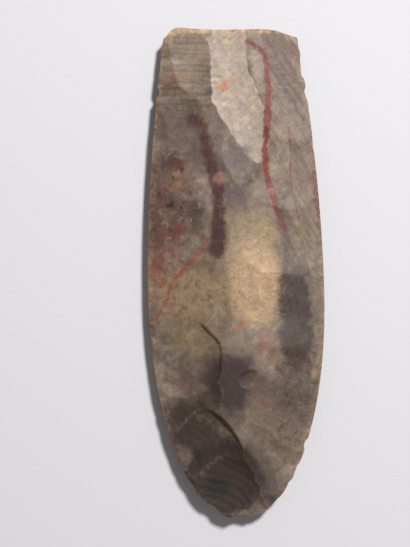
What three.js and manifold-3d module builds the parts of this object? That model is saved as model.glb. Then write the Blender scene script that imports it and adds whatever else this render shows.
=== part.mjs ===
// A large knapped stone biface (a hand axe made of mottled chert), lying on one face.
// Millimetres. +X is across the blade, +Y runs from the rounded tip to the squared butt, +Z is up.
// The origin is under the middle of the stone, on the surface it lies on.
//
// The solid is made as the real one was: a lens-shaped blank, then flakes taken off it.
// Each flake scar is a shallow bowl, tilted to the line along which the flake ran.

import * as THREE from 'three';
import { ParametricGeometry } from 'three/addons/geometries/ParametricGeometry.js';
import { mergeVertices } from 'three/addons/utils/BufferGeometryUtils.js';
import Module from 'manifold-3d';

// Driving dimensions of the blank
const LENGTH = 192;
const WIDTH = 68.6;
const TIP_TO_WIDEST = 87;
const UPPER_RISE = 8.6;
const LOWER_DROP = 6.9;
const EDGE_HEIGHT = 6.4;
const TIP_LIFT = 1.7;

// Shape of its outline and faces
const TIP_ROUNDNESS = 2.05;
const SECTION_ROUNDNESS = 2.1;
const BUTT_NARROWING = 8.9;
const BUTT_TAPER_POWER = 1.85;
const BUTT_THINNING = 0.5;
const BUTT_THINNING_POWER = 1.6;
const BUTT_NOSE = 2.6;
const BUTT_NOSE_POWER = 0.55;
const BUTT_EDGE = [
  { x: -26.2, drop: 4.2 },
  { x: -24.2, drop: 1.5 },
  { x: -21.2, drop: 0.3 },
  { x: -15.5, drop: 0.9 },
  { x: -6, drop: 1.7 },
  { x: 13.5, drop: 1.8 },
  { x: 17.9, drop: 2.5 },
  { x: 22.3, drop: 4.2 },
  { x: 26.2, drop: 5.5 },
];

// Fineness of the meshes
const STEPS_ROUND = 72;
const STEPS_OVER = 12;
const BOWL_STEPS = [{ over: 24, around: 18 }, { over: 0, around: 8 }];
const RIM_STRETCH = 6;
const WELD = 0.05;

const TIP_Y = -LENGTH / 2;
const BUTT_Y = LENGTH / 2;
const WIDEST_Y = TIP_Y + TIP_TO_WIDEST;
const SPINE_FROM_Y = TIP_Y + 30;
const SPINE_TO_Y = BUTT_Y - 16;

/** How far a point lies toward the tip and toward the butt from the widest section, 0 to 1 each. */
function reach(y) {
  const towardTip = THREE.MathUtils.clamp((WIDEST_Y - y) / TIP_TO_WIDEST, 0, 1);
  const towardButt = THREE.MathUtils.clamp((y - WIDEST_Y) / (BUTT_Y - WIDEST_Y), 0, 1);
  return { towardTip, towardButt };
}

/** Where the butt ends at x: a line that slants down to the right and is chipped at both corners. */
function buttEdge(x) {
  const at = BUTT_EDGE.findIndex((corner) => corner.x > x);
  if (at === -1) return BUTT_Y - BUTT_EDGE[BUTT_EDGE.length - 1].drop;
  if (at === 0) return BUTT_Y - BUTT_EDGE[0].drop;
  const [left, right] = [BUTT_EDGE[at - 1], BUTT_EDGE[at]];
  const share = (x - left.x) / (right.x - left.x);
  return BUTT_Y - THREE.MathUtils.lerp(left.drop, right.drop, share);
}

/** Half the width that the sides would have at y if the tip did not round them off. */
function sideHalfWidth(y) {
  return WIDTH / 2 - BUTT_NARROWING * reach(y).towardButt ** BUTT_TAPER_POWER;
}

/** Height of the sharp edge that runs round the stone. */
function edgeHeight(y) {
  return EDGE_HEIGHT + TIP_LIFT * reach(y).towardTip ** 2;
}

/** How full the lens is at a point: 1 in the middle, 0 on the edge. */
function fullness(x, y) {
  const { towardTip, towardButt } = reach(y);
  const across = Math.abs(x / sideHalfWidth(y)) ** SECTION_ROUNDNESS;
  const lens = Math.max(0, 1 - across - towardTip ** TIP_ROUNDNESS);
  const nose = THREE.MathUtils.clamp((buttEdge(x) - y) / BUTT_NOSE, 0, 1) ** BUTT_NOSE_POWER;
  const thinning = 1 - BUTT_THINNING * towardButt ** BUTT_THINNING_POWER;
  return lens * nose * thinning;
}

const FACES = {
  upper: { up: 1, heightAt: (x, y) => edgeHeight(y) + UPPER_RISE * fullness(x, y) },
  lower: { up: -1, heightAt: (x, y) => edgeHeight(y) - LOWER_DROP * fullness(x, y) },
};

/** The outline seen from above: the round tip, the two sides and the squared butt. */
class Outline extends THREE.Curve {
  getPoint(t, target = new THREE.Vector3()) {
    const side = t < 0.5 ? 1 : -1;
    const along = t < 0.5 ? t * 2 : (1 - t) * 2;
    const tipShare = 0.42;
    const sideShare = 0.46;
    if (along < tipShare) {
      const turn = (along / tipShare) * Math.PI / 2;
      const y = WIDEST_Y - TIP_TO_WIDEST * Math.cos(turn) ** (2 / TIP_ROUNDNESS);
      const x = (WIDTH / 2) * Math.sin(turn) ** (2 / SECTION_ROUNDNESS);
      return target.set(side * x, y, 0);
    }
    const cornerY = buttEdge(side * WIDTH);
    if (along < tipShare + sideShare) {
      const y = THREE.MathUtils.lerp(WIDEST_Y, cornerY, (along - tipShare) / sideShare);
      return target.set(side * sideHalfWidth(y), y, 0);
    }
    const inward = (along - tipShare - sideShare) / (1 - tipShare - sideShare);
    const x = side * sideHalfWidth(cornerY) * (1 - inward);
    return target.set(x, buttEdge(x), 0);
  }
}

/** A closed body from a geometry whose seams and poles share no vertices yet. */
function solidOf(wasm, geometry) {
  geometry.deleteAttribute('normal');
  geometry.deleteAttribute('uv');
  const merged = mergeVertices(geometry, 1e-3);
  const corners = merged.index.array;
  const kept = [];
  for (let i = 0; i < corners.length; i += 3) {
    const [a, b, c] = [corners[i], corners[i + 1], corners[i + 2]];
    if (a !== b && b !== c && c !== a) kept.push(a, b, c);
  }
  const mesh = new wasm.Mesh({
    numProp: 3,
    vertProperties: new Float32Array(merged.attributes.position.array),
    triVerts: new Uint32Array(kept),
    tolerance: WELD,
  });
  return new wasm.Manifold(mesh);
}

/** The unworked lens, run from the spine of its lower face, round the edge, to the upper one's. */
function blankGeometry() {
  const rim = new Outline().getSpacedPoints(STEPS_ROUND);
  const surface = (u, v, target) => {
    const edge = rim[Math.round(u * STEPS_ROUND) % STEPS_ROUND];
    const spineY = THREE.MathUtils.clamp(edge.y, SPINE_FROM_Y, SPINE_TO_Y);
    const face = v < 0.5 ? FACES.lower : FACES.upper;
    const inward = Math.abs(1 - 2 * v) ** 1.15;
    const x = edge.x * (1 - inward);
    const y = THREE.MathUtils.lerp(edge.y, spineY, inward);
    target.set(x, y, inward === 0 ? edgeHeight(y) : face.heightAt(x, y));
  };
  return new ParametricGeometry(surface, STEPS_ROUND, STEPS_OVER);
}

/**
 * The bowl that one flake leaves: an ellipsoid sheared to the line the flake ran along, whose far
 * half is drawn out into a tall rim, so that it cuts cleanly out through the face.
 *   from, to   where the scar starts and ends, seen from above
 *   sink       how far under the blank's face each of those ends lies
 *   width      across the scar, and depth under the line from end to end
 *   blunt      near 1 for steep walls all round, and more for a rim that fades out
 *   follow     how much of the face's swell between its ends the scar keeps, 0 to 1
 *   taper      widening toward the end, as a share of the width
 */
function scarGeometry(face, scar) {
  const { from, to, width, depth, sink = [0, 0.1], blunt = 3, follow = 0.75, taper = 0.1 } = scar;
  const { up, heightAt } = face;
  const start = new THREE.Vector3(...from, heightAt(...from) - up * sink[0]);
  const end = new THREE.Vector3(...to, heightAt(...to) - up * sink[1]);
  const middle = start.clone().lerp(end, 0.5);
  const swell = heightAt(middle.x, middle.y) - up * (sink[0] + sink[1]) / 2 - middle.z;
  const run = end.clone().sub(start);
  const length = Math.hypot(run.x, run.y);
  const across = new THREE.Vector3(-run.y, run.x, 0).multiplyScalar(up / length);
  const spread = 1 / Math.sqrt(1 - (1 - 1 / blunt) ** 2);
  const bowl = depth * blunt;

  const around = BOWL_STEPS.find(({ over }) => Math.max(length, width) > over).around;
  const geometry = new THREE.SphereGeometry(1, around, around / 2);
  const points = geometry.attributes.position;
  const point = new THREE.Vector3();
  for (let i = 0; i < points.count; i += 1) {
    const [side, rise, ahead] = point.fromBufferAttribute(points, i).toArray();
    const along = ahead * spread / 2;
    const lift = bowl * (rise > 0 ? rise * RIM_STRETCH : rise) + bowl - depth;
    point.copy(middle).addScaledVector(run, along);
    point.addScaledVector(across, side * (width / 2) * spread * (1 + taper * ahead));
    point.z += follow * swell * (1 - (2 * along) ** 2) + up * lift;
    points.setXYZ(i, point.x, point.y, point.z);
  }
  return geometry;
}

// Scars of the upper face, each as scarGeometry takes it
const UPPER_SCARS = [
  // Thinning flakes struck from the butt
  { from: [-1.5, 108], to: [6, 43], width: 22, depth: 1.5, sink: [0.3, 0.4], follow: 0.6, taper: -0.75 },
  { from: [3.5, 84], to: [8, 47], width: 13, depth: 0.5, sink: [1.9, 1.6], blunt: 2.5 },
  { from: [-22, 108], to: [-14.5, 63], width: 21, depth: 1, sink: [0.4, 0.5], blunt: 2.5, taper: -0.1 },
  { from: [11, 108], to: [30, 58], width: 21, depth: 1, sink: [0.4, 0], follow: 0.6, taper: 0 },
  { from: [3.6, 54], to: [3.6, 34.5], width: 13.5, depth: 1, sink: [0.5, 0.7], blunt: 2, taper: 0 },

  // Flakes struck from the right side, from the butt down to the tip
  { from: [38, 82], to: [12, 78], width: 20, depth: 1.2, sink: [0.2, 0.3], follow: 0.6 },
  { from: [38, 60], to: [14, 65], width: 21, depth: 1, sink: [0.1, 0.3], blunt: 2.2, follow: 0.6 },
  { from: [39, 36], to: [10, 45], width: 26, depth: 1, sink: [0, 0.2] },
  { from: [39, 12], to: [5, 23], width: 29, depth: 1 },
  { from: [40, -16], to: [4, -7], width: 31, depth: 1 },
  { from: [38, -40], to: [7, -33], width: 25, depth: 0.9 },
  { from: [35, -62], to: [3, -49], width: 27, depth: 1.1, sink: [0, 0.2] },
  { from: [25, -87], to: [0, -63], width: 26, depth: 1.2, sink: [-0.2, 0.4], follow: 0.6 },

  // Flakes struck from the left side, the last three of them ending in a step
  { from: [-36, 66], to: [-5, 58], width: 20, depth: 1.1, sink: [0.1, 0.3] },
  { from: [-38, 43], to: [-1, 42], width: 27, depth: 1.1, sink: [0, 0.3] },
  { from: [-39, 17], to: [-3, 22], width: 26, depth: 1 },
  { from: [-39, -8], to: [-4, 0], width: 27, depth: 1, sink: [0, 0.2] },
  { from: [-40, -26], to: [-15, -16], width: 19, depth: 1.1, sink: [0.1, 0.5], blunt: 2 },
  { from: [-38, -39], to: [-7.5, -28], width: 29, depth: 1, sink: [0.2, 1.3], blunt: 1.35, follow: 0.6 },
  { from: [-33, -55], to: [-8, -45], width: 20, depth: 0.8, sink: [0.1, 0.2] },
  { from: [-27, -76], to: [-10.5, -55], width: 52, depth: 1, sink: [-0.6, 1.4], blunt: 1.35, taper: 0 },
  { from: [-13, -102], to: [-8, -69], width: 40, depth: 1.6, sink: [-2, 1.7], blunt: 1.5, taper: -0.1 },
];

// Scars of the face it lies on, which are broad and plain.
const LOWER_SCARS = { perSide: 7, width: 28, depth: 0.9, firstY: -74, lastY: 72 };

// The small flakes that sharpen the edge, taken off both faces in turn.
const RETOUCH = [
  { face: FACES.upper, count: 56, length: 7.5, width: 7.5, depth: 0.5, sink: 0.35, seed: 1 },
  { face: FACES.lower, count: 46, length: 8.5, width: 9, depth: 0.5, sink: 0.3, seed: 5 },
];

/** A repeatable number from 0 to 1 for each whole number. */
function vary(index) {
  const wave = Math.sin(index * 12.9898) * 43758.5453;
  return wave - Math.floor(wave);
}

/** The broad scars of the lower face, struck from the two sides in turn. */
function lowerScars() {
  const { perSide, width, depth, firstY, lastY } = LOWER_SCARS;
  return Array.from({ length: perSide * 2 }, (_, i) => {
    const side = i % 2 ? 1 : -1;
    const y = THREE.MathUtils.lerp(firstY, lastY, i / (perSide * 2 - 1));
    const tipNarrowing = Math.sqrt(1 - reach(y).towardTip ** 2);
    const edge = [side * (sideHalfWidth(y) + 4) * tipNarrowing, y];
    const end = [side * (1 + 6 * vary(i)), y + 8 * (vary(i + 20) - 0.4)];
    const size = 0.85 + 0.35 * vary(i + 40);
    return { from: edge, to: end, width: width * size, depth: depth * size, sink: [-0.1, 0.1] };
  });
}

/** One row of small scars, evenly spaced round the outline but uneven in size. */
function retouchScars({ count, length, width, depth, sink, seed }) {
  const outline = new Outline();
  return Array.from({ length: count }, (_, i) => {
    const share = THREE.MathUtils.euclideanModulo((i + 0.5 * (vary(seed + i) - 0.5)) / count, 1);
    const edge = outline.getPointAt(share);
    const tangent = outline.getTangentAt(share);
    const inward = new THREE.Vector3(-tangent.y, tangent.x, 0);
    const size = 0.6 + 0.8 * vary(seed + i * 7);
    const [fromX, fromY] = edge.clone().addScaledVector(inward, -0.35 * length).toArray();
    const [toX, toY] = edge.clone().addScaledVector(inward, 0.75 * length * size).toArray();
    return {
      from: [fromX, fromY],
      to: [toX, toY],
      width: width * size,
      depth: depth * size,
      sink: [sink, -0.1],
      blunt: 2.5,
      follow: 0,
      taper: 0,
    };
  });
}

const wasm = await Module();
wasm.setup();

const scars = [
  ...UPPER_SCARS.map((scar) => scarGeometry(FACES.upper, scar)),
  ...lowerScars().map((scar) => scarGeometry(FACES.lower, scar)),
  ...RETOUCH.flatMap((row) => retouchScars(row).map((scar) => scarGeometry(row.face, scar))),
];
const ground = new THREE.BoxGeometry(2 * WIDTH, 2 * LENGTH, 20).translate(0, 0, -10);
const stone = [...scars, ground].reduce(
  (left, cut) => left.subtract(solidOf(wasm, cut)),
  solidOf(wasm, blankGeometry()),
);

const { vertProperties, triVerts } = stone.getMesh();
const geometry = new THREE.BufferGeometry();
geometry.setAttribute('position', new THREE.BufferAttribute(vertProperties, 3));
geometry.setIndex(new THREE.BufferAttribute(triVerts, 1));
geometry.computeBoundingBox();
const middle = geometry.boundingBox.getCenter(new THREE.Vector3());
geometry.translate(-middle.x, -middle.y, 0);
geometry.computeVertexNormals();

const chert = new THREE.MeshStandardMaterial({ color: 0x7a6a60, roughness: 0.62, metalness: 0 });
const handAxe = new THREE.Mesh(geometry, chert);
handAxe.name = 'hand_axe';

const model = new THREE.Group();
model.add(handAxe);
export default model;
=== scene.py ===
"""The looks of a large knapped stone biface: a hand axe of mottled chert with brick-red veins.

The carving is worked out in millimetres in the blank's own frame: +X across the blade, +Y from the
rounded tip to the squared butt, +Z up, with the stone lying on z = 0. The finished mesh is in metres
and is centred on the CAD solid that it replaces.
"""

import logging
import math
from dataclasses import dataclass, field
from enum import Enum

import bpy
import numpy as np
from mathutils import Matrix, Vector


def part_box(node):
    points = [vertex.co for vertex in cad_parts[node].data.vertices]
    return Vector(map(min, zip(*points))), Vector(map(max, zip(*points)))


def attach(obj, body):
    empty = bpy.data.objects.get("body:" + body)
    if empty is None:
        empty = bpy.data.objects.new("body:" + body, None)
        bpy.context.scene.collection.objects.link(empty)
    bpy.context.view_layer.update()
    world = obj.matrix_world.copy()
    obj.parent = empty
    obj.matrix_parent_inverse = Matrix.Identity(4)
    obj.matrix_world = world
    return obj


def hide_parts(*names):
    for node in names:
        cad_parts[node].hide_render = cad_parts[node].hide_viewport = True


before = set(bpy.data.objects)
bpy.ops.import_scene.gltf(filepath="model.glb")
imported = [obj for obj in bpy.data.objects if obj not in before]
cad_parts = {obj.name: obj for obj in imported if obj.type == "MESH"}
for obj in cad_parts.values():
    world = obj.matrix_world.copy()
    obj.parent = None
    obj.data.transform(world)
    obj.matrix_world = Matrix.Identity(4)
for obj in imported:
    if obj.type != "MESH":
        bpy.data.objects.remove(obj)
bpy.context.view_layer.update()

log = logging.getLogger("hand_axe")

Array = np.ndarray
Point2 = tuple[float, float]
Colour = tuple[float, float, float]
Inputs = dict[str | int, object]
Socket = bpy.types.NodeSocket

MM = 0.001
TO_MM = 1000.0


class Face(Enum):
    """The two faces of the stone, each named by the way it looks."""

    UPPER = 1
    LOWER = -1

    @property
    def up(self) -> int:
        """1 on the face that looks up, -1 on the one it lies on."""
        return self.value


def vary(index: Array | float) -> Array | float:
    """A repeatable number from 0 to 1 for each whole number.

    It is the fraction of 43758.5453 sin(12.9898 i).

    Args:
        index: Whole numbers.

    Returns:
        A number for each of them.
    """
    wave = np.sin(index * 12.9898) * 43758.5453
    return wave - np.floor(wave)


def noise(x: Array, y: Array, wavelength: float, seed: int) -> Array:
    """Smooth random hills and hollows.

    Random numbers on a square lattice, joined by the quintic 6t^5 - 15t^4 + 10t^3.

    Args:
        x: Places across, in millimetres.
        y: Places along, in millimetres.
        wavelength: Lattice spacing, in millimetres.
        seed: Picks another set of lattice numbers.

    Returns:
        Values from -1 to 1, one for each place.
    """
    u, v = x / wavelength, y / wavelength
    column, row = np.floor(u), np.floor(v)
    s, t = u - column, v - row
    s = s * s * s * (s * (s * 6 - 15) + 10)
    t = t * t * t * (t * (t * 6 - 15) + 10)

    def corner(i: Array, j: Array) -> Array:
        """The lattice's own random number at a corner."""
        wave = np.sin(i * 127.1 + j * 311.7 + seed * 74.7) * 43758.5453
        return wave - np.floor(wave)

    near = corner(column, row) * (1 - s) + corner(column + 1, row) * s
    far = corner(column, row + 1) * (1 - s) + corner(column + 1, row + 1) * s
    return 2 * (near * (1 - t) + far * t) - 1


@dataclass(frozen=True)
class Blank:
    """The unworked lens of stone, in millimetres."""

    length: float = 192.0
    width: float = 68.6
    tip_to_widest: float = 87.0
    upper_rise: float = 8.6
    lower_drop: float = 6.9
    edge_height: float = 6.4
    tip_lift: float = 1.7
    tip_roundness: float = 2.05
    section_roundness: float = 2.1
    butt_narrowing: float = 8.9
    butt_taper_power: float = 1.85
    butt_thinning: float = 0.5
    butt_thinning_power: float = 1.6
    butt_nose: float = 2.6
    butt_nose_power: float = 0.55
    butt_edge_x: tuple[float, ...] = (-26.2, -24.2, -21.2, -15.5, -6.0, 13.5, 17.9, 22.3, 26.2)
    butt_edge_drop: tuple[float, ...] = (4.2, 1.5, 0.3, 0.9, 1.7, 1.8, 2.5, 4.2, 5.5)

    @property
    def tip_y(self) -> float:
        """Where the tip ends."""
        return -self.length / 2

    @property
    def butt_y(self) -> float:
        """Where the butt ends."""
        return self.length / 2

    @property
    def widest_y(self) -> float:
        """Where the blade is widest."""
        return self.tip_y + self.tip_to_widest

    def reach(self, y: Array | float) -> tuple[Array, Array]:
        """How far y lies toward the tip and toward the butt from the widest section, 0 to 1 each."""
        toward_tip = np.clip((self.widest_y - y) / self.tip_to_widest, 0, 1)
        toward_butt = np.clip((y - self.widest_y) / (self.butt_y - self.widest_y), 0, 1)
        return toward_tip, toward_butt

    def butt_edge(self, x: Array | float) -> Array:
        """Where the butt ends at x: a line that slants down to the right, chipped at both corners."""
        return self.butt_y - np.interp(x, self.butt_edge_x, self.butt_edge_drop)

    def side_half_width(self, y: Array | float) -> Array:
        """Half the width the sides would have if the tip did not round them off."""
        return self.width / 2 - self.butt_narrowing * self.reach(y)[1] ** self.butt_taper_power

    def rim_height(self, y: Array | float) -> Array:
        """Height of the sharp edge that runs round the stone: it lifts toward the tip as a square."""
        return self.edge_height + self.tip_lift * self.reach(y)[0] ** 2

    def height(self, face: Face, x: Array | float, y: Array | float) -> Array:
        """Height of a face of the blank.

        The rim's height plus the face's rise times a lens, 1 - |x/half width|^p - (way to tip)^q,
        rounded off at the butt's end and thinned toward it.

        Args:
            face: Which face.
            x: Places across.
            y: Places along.

        Returns:
            Heights above the surface that the stone lies on.
        """
        toward_tip, toward_butt = self.reach(y)
        across = np.abs(x / self.side_half_width(y)) ** self.section_roundness
        lens = np.clip(1 - across - toward_tip ** self.tip_roundness, 0, None)
        nose = np.clip((self.butt_edge(x) - y) / self.butt_nose, 0, 1) ** self.butt_nose_power
        thinning = 1 - self.butt_thinning * toward_butt ** self.butt_thinning_power
        rise = self.upper_rise if face is Face.UPPER else -self.lower_drop
        return self.rim_height(y) + rise * lens * nose * thinning

    def outline(self, count: int) -> tuple[Array, Array, Array, Array]:
        """The outline seen from above, as evenly spaced places from the tip round the right side.

        The tip is a superellipse, the sides follow the half width, and the butt is closed by its edge.

        Args:
            count: How many places, an even number.

        Returns:
            x, y, and the inward direction's two parts, each an array of that length.
        """
        turn = np.linspace(0, math.pi / 2, 1200)
        tip_x = self.width / 2 * np.sin(turn) ** (2 / self.section_roundness)
        tip_y = self.widest_y - self.tip_to_widest * np.cos(turn) ** (2 / self.tip_roundness)

        def side_y(side: int) -> Array:
            """Places along one side, from the widest section up to the butt's corner."""
            return np.linspace(self.widest_y, float(self.butt_edge(side * self.width)), 400)[1:]

        right_y, left_y = side_y(1), side_y(-1)[::-1]
        right_x, left_x = self.side_half_width(right_y), -self.side_half_width(left_y)
        butt_x = np.linspace(right_x[-1], left_x[0], 240)[1:-1]
        loop_x = np.concatenate([tip_x, right_x, butt_x, left_x, -tip_x[::-1]])
        loop_y = np.concatenate([tip_y, right_y, self.butt_edge(butt_x), left_y, tip_y[::-1]])
        run = np.concatenate([[0], np.cumsum(np.hypot(np.diff(loop_x), np.diff(loop_y)))])
        stops = np.arange(count) / count * run[-1]
        x, y = np.interp(stops, run, loop_x), np.interp(stops, run, loop_y)
        step_x = np.interp((stops + 0.5) % run[-1], run, loop_x) - x
        step_y = np.interp((stops + 0.5) % run[-1], run, loop_y) - y
        stretch = np.hypot(step_x, step_y)
        return x, y, -step_y / stretch, step_x / stretch


@dataclass(frozen=True)
class Scar:
    """The shallow bowl that one flake leaves, in millimetres.

    start and end are seen from above, and sink is how far under the blank each of them lies. blunt
    is near 1 for steep walls all round, and more for a rim that fades out. follow is how much of the
    face's swell the scar keeps, and taper its widening toward the end. ripple and pitch are the
    height and spacing of the rings round the blow. tone is how pale the fresh stone is, -1 to 1, and
    soft how worn down its border is.
    """

    start: Point2
    end: Point2
    width: float
    depth: float
    sink: Point2 = (0.0, 0.1)
    blunt: float = 3.0
    follow: float = 0.75
    taper: float = 0.1
    ripple: float = 0.015
    pitch: float = 2.6
    tone: float = 0.0
    wall_slope: float = 3.0
    soft: float = 1.0

    def surface(self, blank: Blank, face: Face, x: Array, y: Array) -> Array:
        """Height of the bowl over the whole plane.

        A sheared ellipsoid: the line from end to end, plus the swell kept, minus
        bowl sqrt(1 - (s/a)^2 - (t/b)^2) with s along the scar and t across it. Outside its footprint
        it climbs at the wall's slope.

        Args:
            blank: The lens that the flake was struck from.
            face: The face it lies on.
            x: Places across the stone.
            y: Places along the stone.

        Returns:
            Heights, which leave the face alone where they lie outside the stone.
        """
        up = face.up
        low = blank.height(face, *self.start) - up * self.sink[0]
        high = blank.height(face, *self.end) - up * self.sink[1]
        run_x, run_y = self.end[0] - self.start[0], self.end[1] - self.start[1]
        length = math.hypot(run_x, run_y)
        mid_x, mid_y = (self.start[0] + self.end[0]) / 2, (self.start[1] + self.end[1]) / 2
        s = ((x - mid_x) * run_x + (y - mid_y) * run_y) / length
        t = ((y - mid_y) * run_x - (x - mid_x) * run_y) / length
        spread = 1 / math.sqrt(1 - (1 - 1 / self.blunt) ** 2)
        half_length = length / 2 * spread
        half_width = self.width / 2 * spread * np.clip(1 + self.taper * s / half_length, 0.05, None)
        inside = 1 - (s / half_length) ** 2 - (t / half_width) ** 2
        swell = blank.height(face, mid_x, mid_y) - up * sum(self.sink) / 2 - (low + high) / 2
        line = (low + high) / 2 + (high - low) * s / length
        line = line + self.follow * swell * np.clip(1 - (2 * s / length) ** 2, -1, 1)
        bowl = self.depth * self.blunt
        wall = self.wall_slope * min(half_length, self.width / 2) / 2
        lift = bowl - self.depth - bowl * np.sqrt(np.clip(inside, 0, 1)) + wall * np.clip(-inside, 0, 9)
        rings = np.cos(2 * math.pi * np.hypot(x - self.start[0], y - self.start[1]) / self.pitch)
        return line + up * (lift - self.ripple * rings * np.clip(4 * inside, 0, 1))


# Flakes of the upper face: the first five struck from the butt, the rest from the two sides.
UPPER_SCARS: tuple[Scar, ...] = (
    Scar((-1.5, 108), (6, 43), 22, 1.5, (0.3, 0.4), follow=0.6, taper=-0.75, tone=1.0),
    Scar((3.5, 84), (8, 47), 13, 0.5, (1.9, 1.6), blunt=2.5, tone=1.0),
    Scar((-22, 108), (-14.5, 63), 21, 1, (0.4, 0.5), 2.5, taper=-0.1, ripple=0.05, pitch=1.75, tone=0.3),
    Scar((11, 108), (30, 58), 21, 1, (0.4, 0), follow=0.6, taper=0, ripple=0.02, pitch=1.9, tone=0.1),
    Scar((3.6, 54), (3.6, 34.5), 13.5, 1, (0.5, 0.7), blunt=2, taper=0, tone=-0.5),

    Scar((38, 82), (12, 78), 20, 1.2, (0.2, 0.3), follow=0.6, ripple=0.02, pitch=1.6),
    Scar((38, 60), (14, 65), 21, 1, (0.1, 0.3), 2.2, follow=0.6, ripple=0.03, pitch=1.7, tone=0.25),
    Scar((39, 36), (10, 45), 26, 1, (0, 0.2), ripple=0.03, pitch=2.1, soft=1.8),
    Scar((39, 12), (5, 23), 29, 1, soft=2.6),
    Scar((40, -16), (4, -7), 31, 1, soft=3.0),
    Scar((38, -40), (7, -33), 25, 0.9, soft=2.6),
    Scar((35, -62), (3, -49), 27, 1.1, (0, 0.2), soft=2.0),
    Scar((25, -87), (0, -63), 26, 1.2, (-0.2, 0.4), follow=0.6, tone=0.3),

    Scar((-36, 66), (-5, 58), 20, 1.1, (0.1, 0.3), ripple=0.03, pitch=2.2, tone=0.1),
    Scar((-38, 43), (-1, 42), 27, 1.1, (0, 0.3), soft=2.0),
    Scar((-39, 17), (-3, 22), 26, 1, soft=2.0),
    Scar((-39, -8), (-4, 0), 27, 1, (0, 0.2), soft=1.6),
    Scar((-40, -26), (-15, -16), 19, 1.1, (0.1, 0.5), 2, tone=0.2),
    Scar((-38, -39), (-7.5, -28), 29, 1, (0.2, 1.3), 1.35, follow=0.6, ripple=0.03, pitch=3.2, tone=0.1),
    Scar((-33, -55), (-8, -45), 20, 0.8, (0.1, 0.2), tone=-0.1),
    Scar((-27, -76), (-10.5, -55), 52, 1, (-0.6, 1.4), 1.35, taper=0, ripple=0.03, pitch=3.4),
    Scar((-13, -102), (-8, -69), 40, 1.6, (-2, 1.7), 1.5, taper=-0.1, ripple=0.03, pitch=3, tone=-0.15),
)

def chip(
    start: Point2, end: Point2, width: float, depth: float, sink: Point2, blunt: float = 1.3
) -> Scar:
    """A small flat chip that broke short of the middle and ends in its own little wall.

    Args:
        start: Where it starts, seen from above.
        end: Where its wall stands.
        width: Its width.
        depth: How far it dips under the line from end to end.
        sink: How far under the blank its start and end lie.
        blunt: Near 1 for the steepest wall.

    Returns:
        The scar that it leaves.
    """
    return Scar(start, end, width, depth, sink, blunt, follow=0, taper=0, ripple=0)


# The first deepens the floor before the step near the tip, so that its wall stands steep.
CHIPS: tuple[Scar, ...] = (
    Scar((-20.9, -66.1), (-12.6, -54.0), 28, 0.5, (0, 1.5), 1.12, follow=0.3, taper=0, ripple=0.02),
    chip((-27.5, -20), (-20.2, -17.8), 6.5, 0.45, (0.2, 0.5), 1.25),
    chip((-24, -11.5), (-16.2, -15.6), 6.0, 0.45, (0.1, 0.5), 1.25),
    chip((-31, -14), (-26.2, -11.5), 5.0, 0.4, (0.1, 0.4)),
    chip((-31.5, 0), (-26.4, -0.8), 6.5, 0.35, (0.1, 0.4)),
    chip((-17, -15), (-9.0, -14.6), 5.5, 0.35, (0.3, 0.6)),
    Scar((7.6, 37), (6.2, 30), 6.0, 0.4, (0.4, 0.7), 1.3, follow=0, taper=0, ripple=0, tone=0.5),
    chip((0, -44), (6.5, -40), 6.0, 0.3, (0.2, 0.4), 1.6),
    chip((14, -30), (10, -35), 5.0, 0.3, (0.1, 0.4), 1.6),
    chip((-28, 36), (-21, 33), 5.0, 0.3, (0.1, 0.3), 1.6),
    chip((-29, 24), (-20, 20), 6.0, 0.3, (0.1, 0.4), 1.6),
)


@dataclass(frozen=True)
class FlankScars:
    """The broad plain flakes of the face the stone lies on, struck from the two sides in turn."""

    per_side: int = 7
    width: float = 28.0
    depth: float = 0.9
    first_y: float = -74.0
    last_y: float = 72.0

    def scars(self, blank: Blank) -> list[Scar]:
        """The flakes, tip to butt."""
        found = []
        for i in range(2 * self.per_side):
            side = 1 if i % 2 else -1
            y = self.first_y + (self.last_y - self.first_y) * i / (2 * self.per_side - 1)
            narrowing = math.sqrt(1 - float(blank.reach(y)[0]) ** 2)
            edge = (side * (float(blank.side_half_width(y)) + 4) * narrowing, y)
            end = (side * (1 + 6 * vary(i)), y + 8 * (vary(i + 20) - 0.4))
            size = 0.85 + 0.35 * vary(i + 40)
            tone = 0.6 * (vary(i + 60) - 0.5)
            found.append(Scar(edge, end, self.width * size, self.depth * size, (-0.1, 0.1), tone=tone))
        return found


@dataclass(frozen=True)
class Retouch:
    """A row of small flakes that sharpen the edge, evenly spaced round it but uneven in size."""

    count: int
    length: float
    width: float
    depth: float
    sink: float
    seed: int

    def scars(self, blank: Blank) -> list[Scar]:
        """The flakes, from the tip round the right side."""
        fine = 4000
        x, y, in_x, in_y = blank.outline(fine)
        index = np.arange(self.count)
        share = (index + 0.5 * (vary(self.seed + index) - 0.5)) / self.count
        at = np.round(share * fine).astype(int) % fine
        size = 0.6 + 0.8 * vary(self.seed + index * 7)
        tone = vary(self.seed + index * 3) - 0.5
        back, ahead = -0.35 * self.length, 0.75 * self.length * size
        starts = np.stack([x[at] + in_x[at] * back, y[at] + in_y[at] * back], axis=1)
        ends = np.stack([x[at] + in_x[at] * ahead, y[at] + in_y[at] * ahead], axis=1)
        return [
            Scar(
                tuple(a), tuple(b), self.width * k, self.depth * k, (self.sink, -0.1), blunt=2.5,
                follow=0, taper=0, ripple=0, tone=c,
            )
            for a, b, k, c in zip(starts, ends, size, tone)
        ]


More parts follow.
